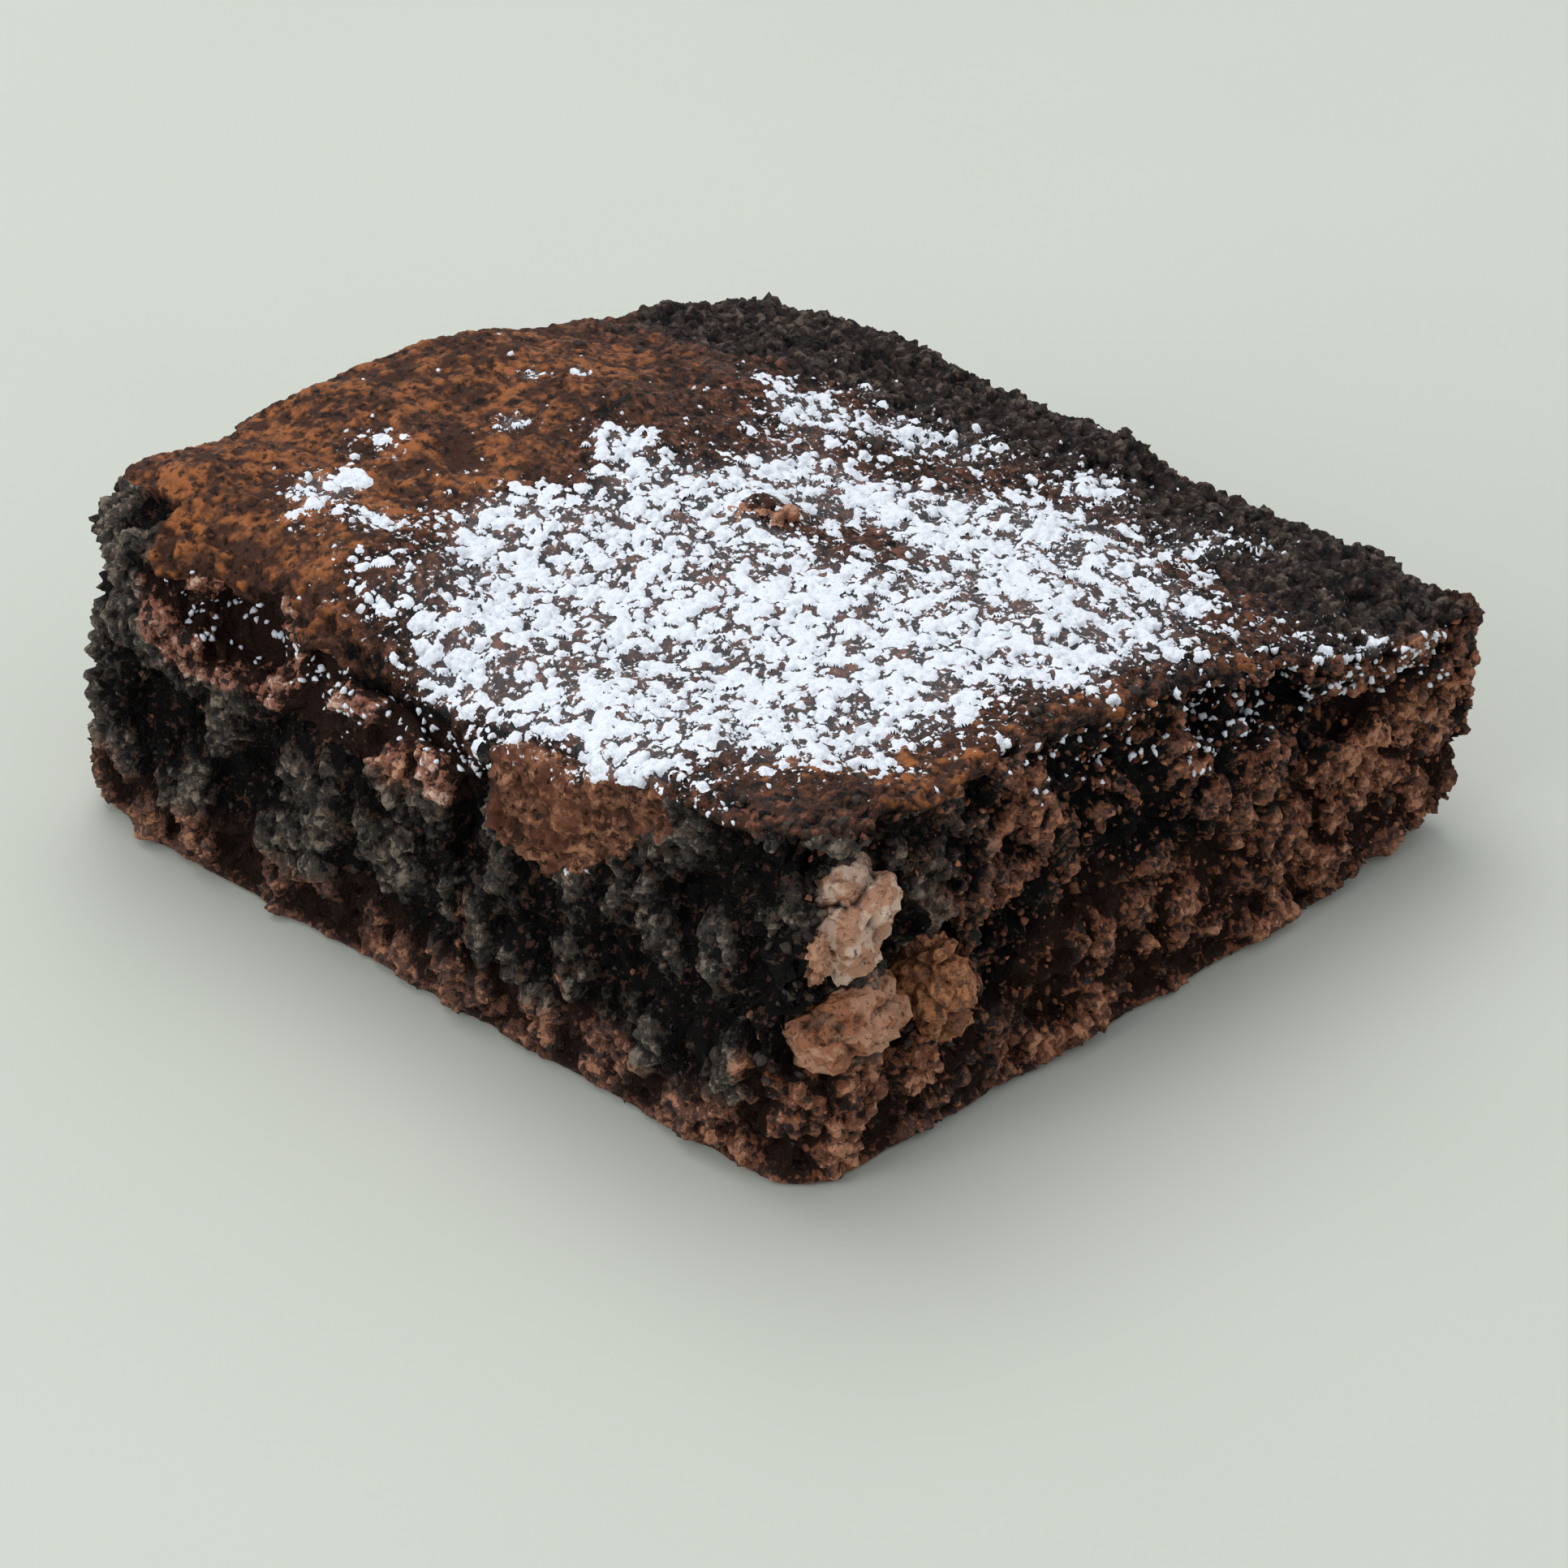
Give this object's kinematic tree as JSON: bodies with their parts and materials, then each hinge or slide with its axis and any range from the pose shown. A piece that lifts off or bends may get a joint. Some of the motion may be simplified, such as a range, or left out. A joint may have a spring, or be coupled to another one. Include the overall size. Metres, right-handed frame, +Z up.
{
  "type": "chocolate brownie",
  "caption": "Thick square of chocolate brownie with a crackled crust, crumbly sides and walnut pieces showing at a cut face.",
  "frame": {"origin": "middle of the flat underside, at the centre of the bounding box's base", "axes": "+Z up through the crust, +X along the cut face with the walnuts towards its lower end, +Y along the dark baked face"},
  "size_m": [0.0778, 0.079, 0.031],
  "materials": {
    "brownie_crumb": "dark baked chocolate crumb and crust, matt with small moist glints",
    "walnut": "dry walnut skin, dull and slightly waxy"
  },
  "bodies": {
    "root": {"brownie": "brownie_crumb", "walnut_upper": "walnut", "walnut_lower": "walnut", "walnut_side": "walnut"}
  },
  "joints": []
}
